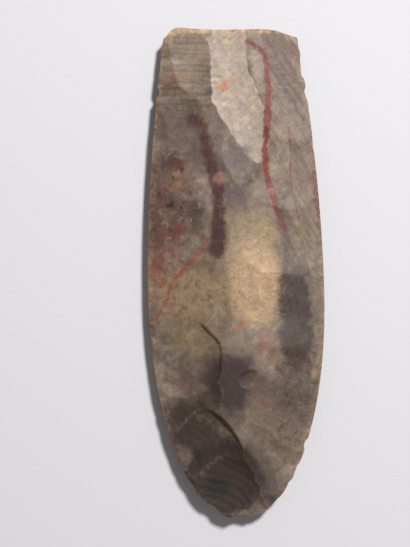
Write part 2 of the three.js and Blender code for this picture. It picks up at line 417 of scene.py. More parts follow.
@dataclass
class CarvedFace:
    """One face of the stone with all its flakes struck off.

    blend is how softly two scars meet, in millimetres of height, and crest how far down from a ridge
    its pale line reaches, partly worn stone and partly painted highlight.
    """

    blank: Blank
    face: Face
    scars: list[Scar]
    blend: float = 0.14
    crest: float = 0.22

    def wander(self, x: Array, y: Array) -> tuple[Array, Array]:
        """Places moved a little, by three sizes of noise, so that no scar is a clean ellipse."""
        parts = ((1.1, 9.0, 1), (0.4, 3.5, 2), (0.14, 1.3, 3))
        moved_x = x + sum(size * noise(x, y, wave, seed) for size, wave, seed in parts)
        moved_y = y + sum(size * noise(x, y, wave, seed + 10) for size, wave, seed in parts)
        return moved_x, moved_y

    def carve(self, x: Array, y: Array) -> tuple[Array, Array, Array]:
        """The face after every blow.

        Each scar in turn takes the face down to the lower of the two, joined by a soft minimum:
        mix(a, b, k) - blend k (1 - k), with k from 0 to 1 across the blend.

        Args:
            x: Places across.
            y: Places along.

        Returns:
            Heights, the tone of the scar that shows, and how near the crest of a ridge each place is.
        """
        up = self.face.up
        height = self.blank.height(self.face, x, y)
        tone, ridge = np.zeros_like(height), np.zeros_like(height)
        moved_x, moved_y = self.wander(x, y)
        for scar in self.scars:
            bowl = scar.surface(self.blank, self.face, moved_x, moved_y)
            spare = up * (bowl - height)
            blend = self.blend * scar.soft
            keep = np.clip(0.5 + 0.5 * spare / blend, 0, 1)
            near = np.clip(1 - np.abs(spare) / self.crest, 0, 1) / scar.soft
            ridge = np.maximum(ridge * keep, near)
            tone = tone * keep + scar.tone * (1 - keep)
            height = bowl * (1 - keep) + height * keep - up * blend * keep * (1 - keep)
        return height, tone, ridge


@dataclass
class HandAxe:
    """The whole knapped stone, one piece."""

    name: str = "knapped_stone"
    node: str = "hand_axe"
    blank: Blank = field(default_factory=Blank)
    rays: int = 900
    upper_rings: int = 80
    lower_rings: int = 26
    crowding: float = 1.25
    spine_from_tip: float = 16.0
    spine_from_butt: float = 9.0
    sharp_angle: float = 48.0
    grain: tuple[Point2, ...] = ((0.05, 4.5), (0.03, 1.9))

    def faces(self) -> tuple[CarvedFace, CarvedFace]:
        """The two carved faces, upper and lower."""
        upper_edge = Retouch(56, 7.5, 7.5, 0.5, 0.35, 1)
        lower_edge = Retouch(46, 8.5, 9.0, 0.5, 0.3, 5)
        upper = [*UPPER_SCARS, *CHIPS, *upper_edge.scars(self.blank)]
        lower = [*FlankScars().scars(self.blank), *lower_edge.scars(self.blank)]
        return CarvedFace(self.blank, Face.UPPER, upper), CarvedFace(self.blank, Face.LOWER, lower)

    def rim(self, upper: CarvedFace, lower: CarvedFace, x: Array, y: Array, spine_y: Array) -> Array:
        """How far out along each ray the stone reaches: where its two faces meet.

        The thickness is halved down to nought between three fifths of the ray and the blank's rim.

        Args:
            upper: The upper face.
            lower: The lower face.
            x: The blank's outline, across.
            y: The blank's outline, along.
            spine_y: Where each ray starts on the middle line.

        Returns:
            Shares of each ray, 0 on the middle line and 1 on the blank's rim.
        """
        inner, outer = np.full(x.shape, 0.6), np.ones(x.shape)
        for _ in range(22):
            middle = (inner + outer) / 2
            at_x, at_y = x * middle, spine_y + (y - spine_y) * middle
            thick = upper.carve(at_x, at_y)[0] > lower.carve(at_x, at_y)[0]
            inner, outer = np.where(thick, middle, inner), np.where(thick, outer, middle)
        return inner

    def surface(self) -> tuple[Array, Array, dict[str, Array]]:
        """The stone's mesh as arrays.

        Rays run from the middle line out to the rim and rings run round: each face is a function of
        ray and ring, its height the carved face's. The upper and the lower rings share the rim.

        Returns:
            Vertices in millimetres, four-cornered faces, and the values the finish reads.
        """
        upper, lower = self.faces()
        x, y, _, _ = self.blank.outline(self.rays)
        spine_low = self.blank.tip_y + self.spine_from_tip
        spine_y = np.clip(y, spine_low, self.blank.butt_y - self.spine_from_butt)
        share = self.rim(upper, lower, x, y, spine_y)
        rim_x, rim_y = x * share, spine_y + (y - spine_y) * share

        places, values, rings = [], [], []
        for face, count in ((upper, self.upper_rings), (lower, self.lower_rings)):
            inward = (np.arange(1, count + 1) / count)[:, None] ** self.crowding
            px, py = rim_x * (1 - inward), rim_y + (spine_y - rim_y) * inward
            height, tone, ridge = face.carve(px, py)
            from_rim = np.hypot(px - rim_x, py - rim_y)
            settle = np.clip(from_rim / 3, 0, 1)
            for seed, (size, wave) in enumerate(self.grain):
                grain = (1 + noise(px, py, wave, 20 + seed)) / 2
                height = height - face.face.up * size * settle * grain
            places.append(np.stack([px, py, np.maximum(height, 0)], axis=-1).reshape(-1, 3))
            values.append(np.stack([tone, ridge, np.exp(-from_rim / 2.5)], axis=-1).reshape(-1, 3))
            rings.append(count)
        rim_z = upper.carve(rim_x, rim_y)[0]
        places.insert(0, np.stack([rim_x, rim_y, rim_z], axis=-1))
        values.insert(0, np.tile([0.0, 1.0, 1.0], (self.rays, 1)))
        vertices, shown = np.concatenate(places), np.concatenate(values)

        ray = np.arange(self.rays)
        upper_index = np.vstack([ray, self.rays * np.arange(1, rings[0] + 1)[:, None] + ray])
        lower_first = self.rays * (1 + rings[0])
        lower_index = np.vstack([ray, lower_first + self.rays * np.arange(rings[1])[:, None] + ray])
        faces = np.concatenate([self.quads(upper_index), self.quads(lower_index)[:, ::-1]])
        vertices, faces, kept = self.close_spine(vertices, faces)
        shown = shown[kept]
        return vertices, faces, {"tone": shown[:, 0], "ridge": shown[:, 1], "margin": shown[:, 2]}

    @staticmethod
    def quads(index: Array) -> Array:
        """Four corners for each cell of a ring-by-ray table of vertex numbers, facing up."""
        along = np.roll(index, -1, axis=1)
        return np.stack([index[:-1], along[:-1], along[1:], index[1:]], axis=-1).reshape(-1, 4)

    @staticmethod
    def close_spine(vertices: Array, faces: Array) -> tuple[Array, Array, Array]:
        """Joins the vertices that lie on one place, as the rays from both sides do on the spine.

        Args:
            vertices: Places in millimetres.
            faces: Four corners each.

        Returns:
            The vertices that are left, the faces on them, and which of the old vertices were kept.
        """
        places = np.round(vertices, 4)
        _, kept, joined = np.unique(places, axis=0, return_index=True, return_inverse=True)
        return vertices[kept], joined.reshape(-1)[faces], kept

    def build(self) -> bpy.types.Object:
        """The finished mesh in metres, centred on the solid it replaces.

        Returns:
            The stone's object, riding on the body of that solid.
        """
        vertices, faces, shown = self.surface()
        low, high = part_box(self.node)
        middle = (vertices.min(axis=0) + vertices.max(axis=0)) / 2
        vertices = vertices * MM
        vertices[:, 0] += (low[0] + high[0]) / 2 - middle[0] * MM
        vertices[:, 1] += (low[1] + high[1]) / 2 - middle[1] * MM
        mesh = bpy.data.meshes.new(self.name)
        mesh.from_pydata(vertices, [], [list(dict.fromkeys(face)) for face in faces.tolist()])
        for label, numbers in shown.items():
            layer = mesh.attributes.new(label, "FLOAT", "POINT")
            layer.data.foreach_set("value", numbers.astype(np.float32))
        mesh.validate()
        mesh.shade_smooth()
        mesh.set_sharp_from_angle(angle=math.radians(self.sharp_angle))
        stone = bpy.data.objects.new(self.name, mesh)
        bpy.context.scene.collection.objects.link(stone)
        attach(stone, "root")
        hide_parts(self.node)
        log.info("stone: %d vertices, %d faces, middle %s", len(vertices), len(faces), middle.round(3))
        return stone


class Sketch:
    """A short hand for laying out shader nodes in one tree."""

    def __init__(self, tree: bpy.types.NodeTree) -> None:
        """Starts on a tree that may already hold nodes.

        Args:
            tree: The material's node tree, or a node group.
        """
        self.tree = tree

    def feed(self, socket: Socket, value: object) -> None:
        """Links an output to a socket, or sets the socket's own value."""
        if isinstance(value, Socket):
            self.tree.links.new(value, socket)
        else:
            socket.default_value = value

    def node(self, kind: str, inputs: Inputs, **settings: object) -> bpy.types.Node:
        """A node with its settings and inputs in place.

        Args:
            kind: Blender's name of the node type.
            inputs: Values or outputs for its inputs, by name or number.
            **settings: Properties of the node itself.

        Returns:
            The node.
        """
        made = self.tree.nodes.new(kind)
        for label, setting in settings.items():
            setattr(made, label, setting)
        for label, value in inputs.items():
            self.feed(made.inputs[label], value)
        return made

    def math(self, operation: str, *values: object, clamp: bool = False) -> Socket:
        """One sum on numbers."""
        inputs = dict(enumerate(values))
        return self.node("ShaderNodeMath", inputs, operation=operation, use_clamp=clamp).outputs[0]

    def vector(self, operation: str, *values: object, output: str = "Vector") -> Socket:
        """One sum on vectors."""
        made = self.node("ShaderNodeVectorMath", dict(enumerate(values)), operation=operation)
        return made.outputs[output]

    def noise(
        self, place: object, scale: float, detail: float = 3.0, rough: float = 0.5
    ) -> bpy.types.Node:
        """A noise texture over places in millimetres.

        Args:
            place: The places.
            scale: How many features there are to a millimetre.
            detail: How many finer layers are added.
            rough: How strong each is beside the one before.

        Returns:
            The texture's node.
        """
        inputs = {"Vector": place, "Scale": scale, "Detail": detail, "Roughness": rough}
        return self.node("ShaderNodeTexNoise", inputs)

    def mix(self, mask: object, below: object, above: object, mode: str = "MIX") -> Socket:
        """Lays one colour over another.

        Args:
            mask: 1 where the upper colour shows and 0 where the lower does.
            below: The lower colour.
            above: The upper colour.
            mode: How Blender blends them.

        Returns:
            The colour that shows.
        """
        made = self.node("ShaderNodeMix", {"Factor": mask}, data_type="RGBA", blend_type=mode)
        self.feed(made.inputs[6], below)
        self.feed(made.inputs[7], above)
        return made.outputs[2]

    def ramp(self, value: object, low: float, high: float) -> Socket:
        """A smooth step from 0 at low to 1 at high. High may be the smaller of the two."""
        inputs = {"Value": value, "From Min": low, "From Max": high}
        made = self.node("ShaderNodeMapRange", inputs, interpolation_type="SMOOTHSTEP")
        return made.outputs["Result"]


def group(name: str, inputs: Inputs, output: str, kind: str) -> tuple[Sketch, bpy.types.Node]:
    """A new node group with named inputs and one named output.

    Args:
        name: The group's name.
        inputs: Default of each input, by name: a number, or three of them for a vector.
        output: The output's name.
        kind: Blender's name of the output's socket type.

    Returns:
        The sketch to lay its nodes with, and its input node.
    """
    tree = bpy.data.node_groups.new(name, "ShaderNodeTree")
    for label, default in inputs.items():
        is_vector = isinstance(default, tuple)
        socket_type = "NodeSocketVector" if is_vector else "NodeSocketFloat"
        socket = tree.interface.new_socket(label, in_out="INPUT", socket_type=socket_type)
        socket.default_value = default
    tree.interface.new_socket(output, in_out="OUTPUT", socket_type=kind)
    return Sketch(tree), tree.nodes.new("NodeGroupInput")


def wander_group() -> bpy.types.NodeTree:
    """Moves places sideways by noise, so that every border drawn on them turns ragged."""
    inputs = {"Vector": (0.0, 0.0, 0.0), "Scale": 0.1, "Amount": 2.0}
    draw, given = group("Wander", inputs, "Vector", "NodeSocketVector")
    cloud = draw.noise(given.outputs["Vector"], 1.0, 4.0, 0.55)
    draw.feed(cloud.inputs["Scale"], given.outputs["Scale"])
    centred = draw.vector("SUBTRACT", cloud.outputs["Color"], (0.5, 0.5, 0.5))
    amount = {0: centred, "Scale": given.outputs["Amount"]}
    scaled = draw.node("ShaderNodeVectorMath", amount, operation="SCALE")
    moved = draw.vector("ADD", given.outputs["Vector"], scaled.outputs["Vector"])
    draw.node("NodeGroupOutput", {"Vector": moved})
    return draw.tree


def patch_group() -> bpy.types.NodeTree:
    """A patch of colour with a soft border: (|x/a|^p + |y/b|^p)^(1/p) in its own turned axes."""
    inputs = {
        "Vector": (0.0, 0.0, 0.0), "Centre": (0.0, 0.0, 0.0), "Half Size": (1.0, 1.0, 1.0),
        "Angle": 0.0, "Squareness": 2.0, "Softness": 0.3,
    }
    draw, given = group("Patch", inputs, "Mask", "NodeSocketFloat")
    out = given.outputs
    offset = draw.vector("SUBTRACT", out["Vector"], out["Centre"])
    turn = {"Vector": offset, "Angle": out["Angle"]}
    turned = draw.node("ShaderNodeVectorRotate", turn, rotation_type="Z_AXIS")
    scaled = draw.vector("DIVIDE", turned.outputs["Vector"], out["Half Size"])
    parts = draw.node("ShaderNodeSeparateXYZ", {0: draw.vector("ABSOLUTE", scaled)})
    across = draw.math("POWER", parts.outputs["X"], out["Squareness"])
    along = draw.math("POWER", parts.outputs["Y"], out["Squareness"])
    root = draw.math("DIVIDE", 1.0, out["Squareness"])
    reach = draw.math("POWER", draw.math("ADD", across, along), root)
    outer = draw.math("ADD", 1.0, out["Softness"])
    inner = draw.math("SUBTRACT", 1.0, out["Softness"])
    draw.node("NodeGroupOutput", {"Mask": draw.ramp(reach, outer, inner)})
    return draw.tree


def vein_group() -> bpy.types.NodeTree:
    """One straight stretch of a vein, laid over the stretches before it.

    Its mask steps from 0 to 1 across the border of a band whose half width runs evenly from end to
    end, and the larger of that and the mask given is put out.
    """
    inputs = {
        "Vector": (0.0, 0.0, 0.0), "From": (0.0, 0.0, 0.0), "To": (1.0, 0.0, 0.0),
        "From Width": 1.0, "To Width": 1.0, "Softness": 0.3, "Mask": 0.0,
    }
    draw, given = group("Vein Stretch", inputs, "Mask", "NodeSocketFloat")
    out = given.outputs
    run = draw.vector("SUBTRACT", out["To"], out["From"])
    offset = draw.vector("SUBTRACT", out["Vector"], out["From"])
    ahead = draw.vector("DOT_PRODUCT", offset, run, output="Value")
    length_squared = draw.vector("DOT_PRODUCT", run, run, output="Value")
    share = draw.math("DIVIDE", ahead, length_squared, clamp=True)
    reached = draw.node("ShaderNodeVectorMath", {0: run, "Scale": share}, operation="SCALE")
    nearest = draw.vector("ADD", out["From"], reached.outputs["Vector"])
    distance = draw.vector("DISTANCE", out["Vector"], nearest, output="Value")
    growth = draw.math("SUBTRACT", out["To Width"], out["From Width"])
    half_width = draw.math("ADD", out["From Width"], draw.math("MULTIPLY", growth, share))
    beyond = draw.math("SUBTRACT", distance, half_width)
    inside = draw.ramp(beyond, out["Softness"], draw.math("MULTIPLY", out["Softness"], -1.0))
    draw.node("NodeGroupOutput", {"Mask": draw.math("MAXIMUM", inside, out["Mask"])})
    return draw.tree


def streak_group() -> bpy.types.NodeTree:
    """Noise drawn out into long streaks: the turned places are squeezed along the streaks."""
    inputs = {"Vector": (0.0, 0.0, 0.0), "Angle": 0.0, "Along": 0.05, "Across": 0.5}
    draw, given = group("Streaks", inputs, "Shade", "NodeSocketFloat")
    out = given.outputs
    turn = {"Vector": out["Vector"], "Angle": out["Angle"]}
    turned = draw.node("ShaderNodeVectorRotate", turn, rotation_type="Z_AXIS")
    factors = {"X": out["Along"], "Y": out["Across"], "Z": 0.2}
    squeeze = draw.node("ShaderNodeCombineXYZ", factors).outputs[0]
    drawn_out = draw.vector("MULTIPLY", turned.outputs["Vector"], squeeze)
    draw.node("NodeGroupOutput", {"Shade": draw.noise(drawn_out, 1.0, 3.0, 0.6).outputs["Fac"]})
    return draw.tree


class Border(Enum):
    """How ragged the border of a patch or vein is."""

    CLOUDY = "cloudy"
    RAGGED = "ragged"


@dataclass(frozen=True)
class Patch:
    """A patch where the chert has another colour, in millimetres and degrees."""

    centre: Point2
    half_size: Point2
    colour: Colour
    strength: float = 1.0
    angle: float = 0.0
    squareness: float = 2.0
    softness: float = 0.3
    border: Border = Border.CLOUDY


def ragged(
    centre: Point2,
    half_size: Point2,
    colour: Colour,
    strength: float,
    softness: float = 0.6,
    angle: float = 0.0,
    squareness: float = 2.0,
) -> Patch:
    """A patch with a ragged border, with its values in the same units as Patch has."""
    return Patch(
        centre, half_size, colour, strength, angle, squareness, softness, border=Border.RAGGED
    )


@dataclass(frozen=True)
class Flecks:
    """An area strewn with ragged flecks: their colour, how many to a millimetre, and their share."""

    centre: Point2
    half_size: Point2
    colour: Colour
    scale: float
    share: float
    strength: float = 0.8


@dataclass(frozen=True)
class Banding:
    """Where the chert is banded in thin streaks: the area, the streaks' own way, and their contrast."""

    centre: Point2
    half_size: Point2
    way: float
    across: float
    contrast: float


@dataclass(frozen=True)
class Vein:
    """A vein that runs through the chert along a line of points, in millimetres."""

    line: tuple[Point2, ...]
    half_widths: Point2
    colour: Colour
    strength: float = 1.0
    softness: float = 0.5


BRICK: Colour = (0.20, 0.046, 0.040)
PLUM: Colour = (0.075, 0.024, 0.028)
RUST: Colour = (0.28, 0.075, 0.040)
PINK: Colour = (0.32, 0.17, 0.13)
CREAM: Colour = (0.40, 0.335, 0.285)

# The chert's colours in broad areas, those of the butt before the pale scar is laid over them.
BUTT_PATCHES: tuple[Patch, ...] = (
    Patch((-18.6, 80.0), (9.5, 13.0), (0.232, 0.178, 0.129), 0.8, softness=0.5),
    Patch((-23.9, 72.1), (5.4, 3.5), (0.152, 0.103, 0.066), 0.8, softness=0.6),
    Patch((-20.5, 87.6), (3.5, 2.3), (0.195, 0.157, 0.109), 0.7, softness=0.6),
    Patch((20.7, 80.0), (6.5, 12), (0.217, 0.162, 0.138), 0.85, softness=0.5),
    Patch((21.7, 59.4), (6.6, 13.2), (0.250, 0.190, 0.155), 0.85, softness=0.5),
)

PATCHES: tuple[Patch, ...] = (
    Patch((10.5, 82), (3.0, 7.6), (0.36, 0.30, 0.255), 0.75, softness=0.5),
    Patch((27.0, 37.0), (4.3, 18.7), (0.205, 0.157, 0.130), 0.8, softness=0.5),
    Patch((-22.0, 58.0), (11, 8), (0.108, 0.070, 0.056), 0.75, softness=0.5),
    Patch((-25.0, 26.6), (9.5, 17.5), (0.118, 0.064, 0.050), 0.85, softness=0.5),
    Patch((-23.8, 42.9), (5.1, 3.5), (0.070, 0.037, 0.032), 0.85, softness=0.6),
    Patch((-13.0, 47.0), (6.0, 8.0), (0.110, 0.082, 0.075), 0.75, softness=0.6),
    Patch((1.1, 43.5), (5.6, 6.4), (0.150, 0.120, 0.112), 0.85, softness=0.35),
    ragged((-21.7, 35.9), (2.2, 3.4), (0.240, 0.150, 0.080), 0.8, 0.7, angle=10),
    Patch((-15.0, 22.1), (3.8, 6.0), (0.066, 0.052, 0.041), 0.8, softness=0.6),
    Patch((-29.9, 13.4), (3.5, 3.1), (0.100, 0.045, 0.036), 0.8, softness=0.6),
    ragged((-31.0, 2.2), (3.0, 5.6), (0.240, 0.080, 0.055), 0.85, 0.7),
    Patch((0.7, 27.9), (5.2, 7.4), (0.112, 0.075, 0.072), 0.9, softness=0.45),
    Patch((8.8, 23.1), (3.9, 5.1), (0.235, 0.180, 0.135), 0.85, softness=0.5),
    Patch((-1.2, 12.4), (3.8, 6.2), (0.190, 0.135, 0.118), 0.85, softness=0.5),
    Patch((9.7, 13.7), (5.8, 6.0), (0.334, 0.247, 0.156), 0.9, softness=0.4),
    Patch((25.4, 17.6), (5.1, 13.2), (0.215, 0.165, 0.128), 0.85, softness=0.5),
    Patch((18.5, 6.9), (2.7, 6.2), (0.140, 0.118, 0.098), 0.85, softness=0.6),
    Patch((-17.2, -7.7), (15.0, 12.0), (0.300, 0.210, 0.130), 0.9, softness=0.45),
    Patch((-10.0, 4.0), (5.5, 3.5), (0.170, 0.118, 0.082), 0.85, softness=0.6),
    Patch((4.5, 2.0), (12.0, 20.0), (0.340, 0.250, 0.160), 0.75, softness=0.45),
    ragged((7.2, -4.5), (9.8, 16.0), (0.452, 0.320, 0.200), 0.95, 0.25, squareness=2.4),
    Patch((-16.0, -24.0), (10.5, 9.0), (0.225, 0.165, 0.100), 0.9, softness=0.4),
    Patch((1.0, -25.0), (4.9, 5.0), (0.245, 0.195, 0.150), 0.85, softness=0.5),
    Patch((10.3, -28.6), (5.6, 7.2), (0.240, 0.168, 0.128), 0.9, softness=0.4),
    Patch((22.8, -19.0), (6.2, 22.5), (0.058, 0.041, 0.037), 0.95, squareness=3),
    Patch((31.0, -11.7), (2.6, 17.5), (0.165, 0.135, 0.108), 0.75, softness=0.6),
    Patch((-16.3, -35.0), (6.4, 2.4), (0.150, 0.110, 0.082), 0.8, angle=10, softness=0.6),
    Patch((-3.2, -42.8), (12.5, 11.5), (0.042, 0.025, 0.024), 0.95, softness=0.4),
    Patch((-22.0, -43.6), (7.2, 2.0), (0.140, 0.088, 0.064), 0.8, angle=-25, softness=0.6),
    Patch((8.5, -46.0), (5.0, 7.0), (0.140, 0.102, 0.080), 0.85, softness=0.6),
    Patch((20.0, -47.2), (6.6, 10.9), (0.092, 0.062, 0.049), 0.85, softness=0.5),
    Patch((28.0, -44.7), (2.6, 11.3), (0.100, 0.076, 0.057), 0.75, softness=0.6),
    Patch((-17.0, -60.0), (13.5, 11.0), (0.036, 0.020, 0.015), 0.9, angle=-30, softness=0.35),
    Patch((8.8, -59.9), (6.4, 10.1), (0.150, 0.114, 0.087), 0.85, softness=0.5),
    Patch((17.6, -64.3), (6.4, 11.9), (0.155, 0.112, 0.082), 0.85, angle=20, softness=0.5),
    Patch((9.2, -77.8), (4.9, 10.1), (0.100, 0.077, 0.061), 0.9, angle=25, softness=0.4),
    Patch((-7.1, -80.9), (15.5, 14.5), (0.036, 0.020, 0.016), 1, angle=30, squareness=3, softness=0.16),
    Patch((9.7, -88.5), (4.7, 3.9), (0.047, 0.029, 0.027), 0.85, softness=0.5),
    Patch((-26.0, -64.9), (2.2, 10.1), (0.090, 0.052, 0.044), 0.75, angle=20, softness=0.6),
    Patch((-16.8, -71.6), (2.4, 3.2), (0.014, 0.016, 0.008), 0.85, softness=0.6),
    Patch((-8.5, -83.8), (4.4, 3.6), (0.010, 0.013, 0.008), 0.9, softness=0.6),
    ragged((-24.5, 15.2), (6.0, 1.6), (0.150, 0.050, 0.040), 0.75, 0.7, angle=20),
    ragged((-22.0, 75.5), (3.0, 1.6), (0.28, 0.115, 0.09), 0.6, 0.7),
    ragged((-3.4, 72.0), (2.2, 1.8), (0.50, 0.20, 0.12), 0.85, 0.5, angle=30),
    ragged((0.6, 74.8), (2.8, 0.9), (0.46, 0.24, 0.17), 0.6, 0.7, angle=35),
    ragged((1.3, -20.2), (3.0, 1.2), (0.38, 0.17, 0.10), 0.8, angle=25),
    ragged((9.5, -28.5), (1.4, 4.5), (0.26, 0.11, 0.085), 0.6, 0.7, angle=-25),
    ragged((9.0, -51.0), (2.0, 1.0), (0.20, 0.08, 0.055), 0.6, 0.7),
    ragged((29.6, -40.6), (1.2, 1.6), (0.42, 0.27, 0.16), 0.7),
)

BLUE_GREY: Colour = (0.115, 0.100, 0.098)

VEINS: tuple[Vein, ...] = (
    Vein(((14.5, 80), (20, 71), (24.3, 64), (28, 56.5)), (0.6, 0.5), BLUE_GREY, 0.7, 0.5),
    Vein(((17.5, 79.5), (22, 72), (27.5, 63)), (0.35, 0.3), BLUE_GREY, 0.6, 0.4),
    Vein(((-8, 42), (-1, 37), (8, 34.5)), (0.7, 0.5), (0.100, 0.088, 0.070), 0.7, 0.7),
    Vein(
        ((6.8, 89.3), (9.9, 87.4), (13.2, 85), (13.8, 80), (14.2, 72), (14, 64), (13, 55)),
        (0.9, 1.3), BRICK,
    ),
    Vein(((13, 55), (12.2, 47), (12.4, 41), (13, 35), (14.8, 29.6), (16.2, 24)), (1.1, 1.2), BRICK),
    Vein(((16.2, 24), (18.4, 18), (20.4, 13.9)), (1.2, 0.5), BRICK, 0.9),
    Vein(((21.6, 57), (22.2, 47), (21.9, 35), (23.6, 25.5), (25, 20)), (0.35, 0.3), BRICK, 0.75, 0.4),
    Vein(((31.3, 38), (31.9, 29), (32.8, 16)), (0.9, 0.6), (0.13, 0.04, 0.04), 0.85),
    Vein(
        ((-15.7, 59.5), (-12.6, 57.4), (-10.3, 50), (-9.4, 44), (-7.8, 38), (-6.2, 32)),
        (1.9, 2.3), PLUM, 0.9, 1.1,
    ),
    Vein(((-6.2, 32), (-6.4, 22), (-6.8, 15), (-7.1, 8.5)), (2.2, 3.3), PLUM, 0.95, 1.4),
    Vein(
        ((-10.9, 13), (-15.4, 5.7), (-20.5, 1.2), (-24.9, -3.8), (-26.7, -10), (-32.7, -19)),
        (0.8, 0.6), RUST, 0.8, 0.6,
    ),
)

SPOTS: tuple[Patch, ...] = (
    ragged((-5.7, 36), (2.1, 2.6), PINK, 0.85, 0.35),
    ragged((14.4, 30.8), (1.2, 1.3), (0.42, 0.16, 0.13), 0.85, 0.5),
)

FLECKS: tuple[Flecks, ...] = (
    Flecks((-24, 24), (11, 24), (0.170, 0.048, 0.040), 0.20, 0.40),
    Flecks((-22, 26), (11, 22), (0.290, 0.185, 0.140), 0.32, 0.30, 0.75),
    Flecks((-25, 32), (9, 18), (0.040, 0.022, 0.020), 0.26, 0.30),
    Flecks((-28, 0), (6, 14), (0.300, 0.080, 0.048), 0.30, 0.42),
    Flecks((7, -2), (12, 22), (0.560, 0.440, 0.310), 0.40, 0.28, 0.6),
    Flecks((-14, -8), (17, 15), (0.150, 0.098, 0.066), 0.25, 0.40, 0.7),
    Flecks((19, -50), (14, 24), (0.220, 0.115, 0.075), 0.33, 0.34, 0.65),
    Flecks((22, -48), (12, 26), (0.050, 0.034, 0.030), 0.28, 0.36, 0.7),
)

BANDINGS: tuple[Banding, ...] = (
    Banding((-19, 77), (14, 20), -3.0, 0.65, 0.85),
    Banding((22, 66), (9, 30), -58.0, 0.75, 0.75),
    Banding((27, 22), (7, 26), -62.0, 0.7, 0.65),
    Banding((3, 76), (10, 26), 38.0, 0.6, 0.35),
    Banding((24, -22), (8, 24), -80.0, 0.6, 0.45),
)


@dataclass(frozen=True)
class Chert:
    """Mottled chert, dull and slightly waxy, with veins that dip through the stone."""

    name: str = "mottled_chert"
    body_dark: Colour = (0.115, 0.090, 0.076)
    body: Colour = (0.225, 0.178, 0.145)
    body_pale: Colour = (0.34, 0.28, 0.225)
    crust: Colour = (0.56, 0.40, 0.22)
    # painted highlight: tan glints along the retouched edge, where its small chips catch the lamp
    edge_highlight_tan: Colour = (0.44, 0.29, 0.155)
    # pale ridge colour: partly worn, crushed stone and partly painted highlight
    crest_pale_and_highlight: Colour = (0.46, 0.38, 0.31)
    olive_tint: Colour = (1.06, 1.02, 0.82)
    plum_tint: Colour = (1.00, 0.90, 0.93)
    mottles: tuple[Point2, ...] = ((0.14, 0.55), (0.4, 1.0), (0.95, 0.8))
    roughness: float = 0.6
    roughness_swing: float = 0.24
    refraction: float = 1.54
    rim_level: float = 6.4
    dip: Point2 = (1.5, 2.4)
    cream_strength: float = 0.85
    edge_highlight_strength: float = 0.4
    crest_wear_and_highlight_strength: float = 0.2
    tone_contrast: float = 0.10
    area_softness: float = 0.4
    banding_softness: float = 0.5
    coarse_from: float = 0.3
    vein_gaps: float = 0.4

    def plan(self, draw: Sketch, place: Socket) -> Socket:
        """Places seen from above, slanted below the edge so that the veins dip through the stone.

        Args:
            draw: The material's sketch.
            place: Places in millimetres.

        Returns:
            Places with no height.
        """
        parts = draw.node("ShaderNodeSeparateXYZ", {0: place})
        below = draw.math("MAXIMUM", draw.math("SUBTRACT", self.rim_level, parts.outputs["Z"]), 0.0)
        across = draw.math("ADD", parts.outputs["X"], draw.math("MULTIPLY", below, self.dip[0]))
        along = draw.math("SUBTRACT", parts.outputs["Y"], draw.math("MULTIPLY", below, self.dip[1]))
        return draw.node("ShaderNodeCombineXYZ", {"X": across, "Y": along, "Z": 0.0}).outputs[0]

    def body_colour(self, draw: Sketch, place: Socket) -> Socket:
        """The cloudy grey-brown that fills the stone between its patches and veins."""
        cloud = draw.noise(place, 0.075, 7.0, 0.62).outputs["Fac"]
        first = draw.mix(draw.ramp(cloud, 0.36, 0.54), (*self.body_dark, 1), (*self.body, 1))
        return draw.mix(draw.ramp(cloud, 0.54, 0.72), first, (*self.body_pale, 1))

    def material(self) -> bpy.types.Material:
        """The whole finish.

        Returns:
            The material, to be put on the stone.
        """
        made = bpy.data.materials.new(self.name)
        made.use_nodes = True
        made.node_tree.nodes.clear()
        draw = Sketch(made.node_tree)
        groups = {
            "wander": wander_group(),
            "patch": patch_group(),
            "vein": vein_group(),
            "streaks": streak_group(),
        }

        def use(label: str, inputs: Inputs) -> Socket:
            """One use of a node group with its own values."""
            placed = draw.node("ShaderNodeGroup", {}, node_tree=groups[label])
            for key, value in inputs.items():
                draw.feed(placed.inputs[key], value)
            return placed.outputs[0]

        def lay(patch: Patch, under: Socket) -> Socket:
            """One patch over the colours below it."""
            mask = use("patch", {
                "Vector": borders[patch.border],
                "Centre": (*patch.centre, 0),
                "Half Size": (*patch.half_size, 1),
                "Angle": -math.radians(patch.angle),
                "Squareness": patch.squareness,
                "Softness": patch.softness,
            })
            return draw.mix(draw.math("MULTIPLY", mask, patch.strength), under, (*patch.colour, 1))

        def area_of(spread: Flecks | Banding, softness: float) -> Socket:
            """The mask of an area that flecks or bands lie in."""
            return use("patch", {
                "Vector": coarse,
                "Centre": (*spread.centre, 0),
                "Half Size": (*spread.half_size, 1),
                "Softness": softness,
            })

        def thread(vein: Vein, under: Socket) -> Socket:
            """One vein over the colours below it, stretch by stretch."""
            mask: object = 0.0
            stretches = len(vein.line) - 1
            first, last = vein.half_widths
            for i, (start, end) in enumerate(zip(vein.line, vein.line[1:])):
                mask = use("vein", {
                    "Vector": fine,
                    "From": (*start, 0),
                    "To": (*end, 0),
                    "From Width": first + (last - first) * i / stretches,
                    "To Width": first + (last - first) * (i + 1) / stretches,
                    "Softness": vein.softness,
                    "Mask": mask,
                })
            broken = draw.ramp(thin_cloud, 0.25, 0.5)
            filled = draw.math("MULTIPLY_ADD", broken, self.vein_gaps, vein.strength - self.vein_gaps)
            strength = draw.math("MULTIPLY", mask, filled)
            return draw.mix(strength, under, (*vein.colour, 1))

        coordinates = draw.node("ShaderNodeTexCoord", {})
        metres = coordinates.outputs["Object"]
        place = draw.node("ShaderNodeMapping", {"Vector": metres, "Scale": (TO_MM,) * 3}).outputs[0]
        flat = self.plan(draw, place)
        coarse = use("wander", {"Vector": flat, "Scale": 0.16, "Amount": 9.0})
        fine = use("wander", {"Vector": flat, "Scale": 0.38, "Amount": 3.2})
        cloudy = use("wander", {"Vector": coarse, "Scale": 0.9, "Amount": 2.0})
        borders = {Border.CLOUDY: cloudy, Border.RAGGED: fine}
        thin_cloud = draw.noise(place, 0.45, 4.0, 0.6).outputs["Fac"]

